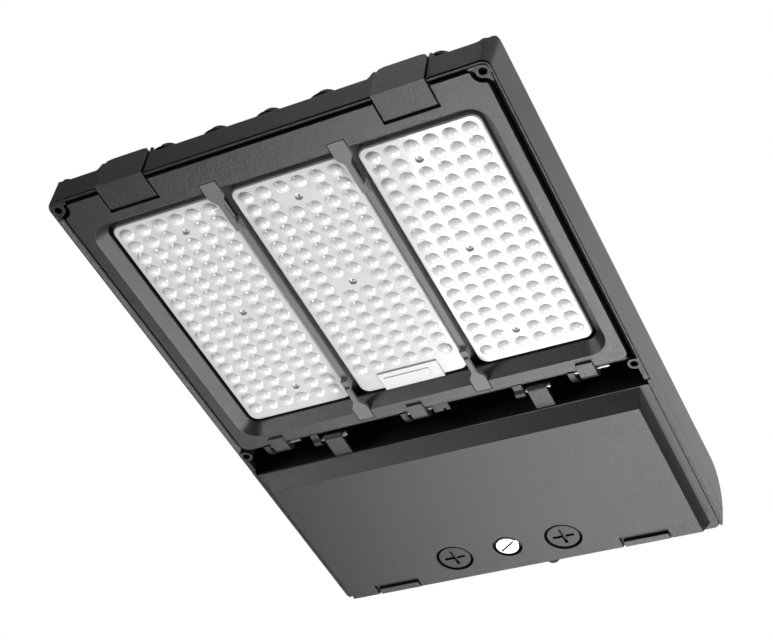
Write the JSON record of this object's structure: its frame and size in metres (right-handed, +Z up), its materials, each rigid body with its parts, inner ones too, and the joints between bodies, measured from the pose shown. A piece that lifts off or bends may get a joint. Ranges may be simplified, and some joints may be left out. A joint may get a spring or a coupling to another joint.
{
  "type": "shoebox area light",
  "caption": "Flat outdoor area light with finned housing, lens plates behind a latched hinged door, and a hinged driver cover with selector plugs and a quarter-turn lock.",
  "frame": {"origin": "Middle of the two mounting bolt holes, on the flat rear mounting face.", "axes": "+Y points from the lamp into the pole or arm, +Z up, +X to the right seen from the front; light falls to -Z."},
  "size_m": [0.3668, 0.5298, 0.0609],
  "materials": {
    "die_cast": "fine texture powder coat",
    "die_cast_sink": "fine texture powder coat",
    "die_cast_door": "fine texture powder coat",
    "die_cast_cover": "fine texture powder coat",
    "latch": "fine texture powder coat",
    "clamp_bar": "moulded, fine grain",
    "black_screw": "black oxide",
    "steel_pin": "drawn",
    "zinc": "zinc plated",
    "bright_lock": "polished",
    "lens": "clear moulded, glossy",
    "board_white": "solder mask",
    "board_green": "solder mask",
    "seal": "silicone",
    "plug": "moulded",
    "driver_case": "painted",
    "surge_case": "moulded",
    "terminal": "moulded",
    "knob": "moulded",
    "gland": "moulded"
  },
  "bodies": {
    "fixture": {"housing": "die_cast", "heat_sink": "die_cast_sink", "housing_screws": "black_screw", "led_board_left": "board_white", "led_board_center": "board_white", "led_board_right": "board_white", "lens_gasket_left": "seal", "lens_gasket_center": "seal", "lens_gasket_right": "seal", "lens_plate_left": "lens", "lens_plate_center": "lens", "lens_plate_right": "lens", "lens_screws": "zinc", "door_hinge_pins": "steel_pin", "front_latch_pins": "steel_pin", "cover_hinge_pins": "steel_pin", "lock_receiver": "zinc", "rear_latch_pins": "steel_pin", "gear_tray": "zinc", "gear_tray_screws": "zinc", "led_driver": "driver_case", "surge_protector": "surge_case", "terminal_block": "terminal", "selector_board": "board_green", "cable_gland": "gland"},
    "optics_door": {"optics_door": "die_cast_door", "lens_clamp_bar_left": "clamp_bar", "lens_clamp_bar_right": "clamp_bar", "door_gasket": "seal"},
    "front_latch_left": {"front_latch_left": "latch"},
    "front_latch_right": {"front_latch_right": "latch"},
    "driver_cover": {"driver_cover": "die_cast_cover", "cover_gasket": "seal"},
    "plug_cap_left": {"plug_cap_left": "plug", "plug_seal_left": "seal"},
    "plug_cap_right": {"plug_cap_right": "plug", "plug_seal_right": "seal"},
    "cover_lock": {"cover_lock": "bright_lock"},
    "rear_latch_left": {"rear_latch_left": "latch"},
    "rear_latch_right": {"rear_latch_right": "latch"},
    "selector_knob_left": {"selector_knob_left": "knob"},
    "selector_knob_right": {"selector_knob_right": "knob"}
  },
  "joints": [
    {"name": "optics_door_hinge", "type": "hinge", "parent": "fixture", "child": "optics_door", "pos_m": [0, -0.2095, -0.0145], "axis": [1, 0, 0], "range_deg": [0, 75]},
    {"name": "driver_cover_hinge", "type": "hinge", "parent": "fixture", "child": "driver_cover", "pos_m": [0, -0.203, -0.0145], "axis": [-1, 0, 0], "range_deg": [0, 65]},
    {"name": "front_latch_left_pivot", "type": "hinge", "parent": "fixture", "child": "front_latch_left", "pos_m": [-0.114, -0.502, 0.008], "axis": [-1, 0, 0], "range_deg": [0, 90]},
    {"name": "front_latch_right_pivot", "type": "hinge", "parent": "fixture", "child": "front_latch_right", "pos_m": [0.114, -0.502, 0.008], "axis": [-1, 0, 0], "range_deg": [0, 90]},
    {"name": "rear_latch_left_pivot", "type": "hinge", "parent": "fixture", "child": "rear_latch_left", "pos_m": [-0.1175, -0.004, -0.008], "axis": [1, 0, 0], "range_deg": [0, 90]},
    {"name": "rear_latch_right_pivot", "type": "hinge", "parent": "fixture", "child": "rear_latch_right", "pos_m": [0.1175, -0.004, -0.008], "axis": [1, 0, 0], "range_deg": [0, 90]},
    {"name": "plug_cap_left_turn", "type": "hinge", "parent": "driver_cover", "child": "plug_cap_left", "pos_m": [-0.0512, -0.042, -0.028], "axis": [0, 0, 1], "range_deg": [0, 90]},
    {"name": "plug_cap_right_turn", "type": "hinge", "parent": "driver_cover", "child": "plug_cap_right", "pos_m": [0.0512, -0.042, -0.028], "axis": [0, 0, 1], "range_deg": [0, 90]},
    {"name": "cover_lock_turn", "type": "hinge", "parent": "driver_cover", "child": "cover_lock", "pos_m": [0, -0.0437, -0.028], "axis": [0, 0, 1], "range_deg": [0, 90]},
    {"name": "selector_knob_left_turn", "type": "hinge", "parent": "fixture", "child": "selector_knob_left", "pos_m": [-0.0512, -0.042, -0.012], "axis": [0, 0, 1], "range_deg": [-120, 120]},
    {"name": "selector_knob_right_turn", "type": "hinge", "parent": "fixture", "child": "selector_knob_right", "pos_m": [0.0512, -0.042, -0.012], "axis": [0, 0, 1], "range_deg": [-120, 120]}
  ]
}
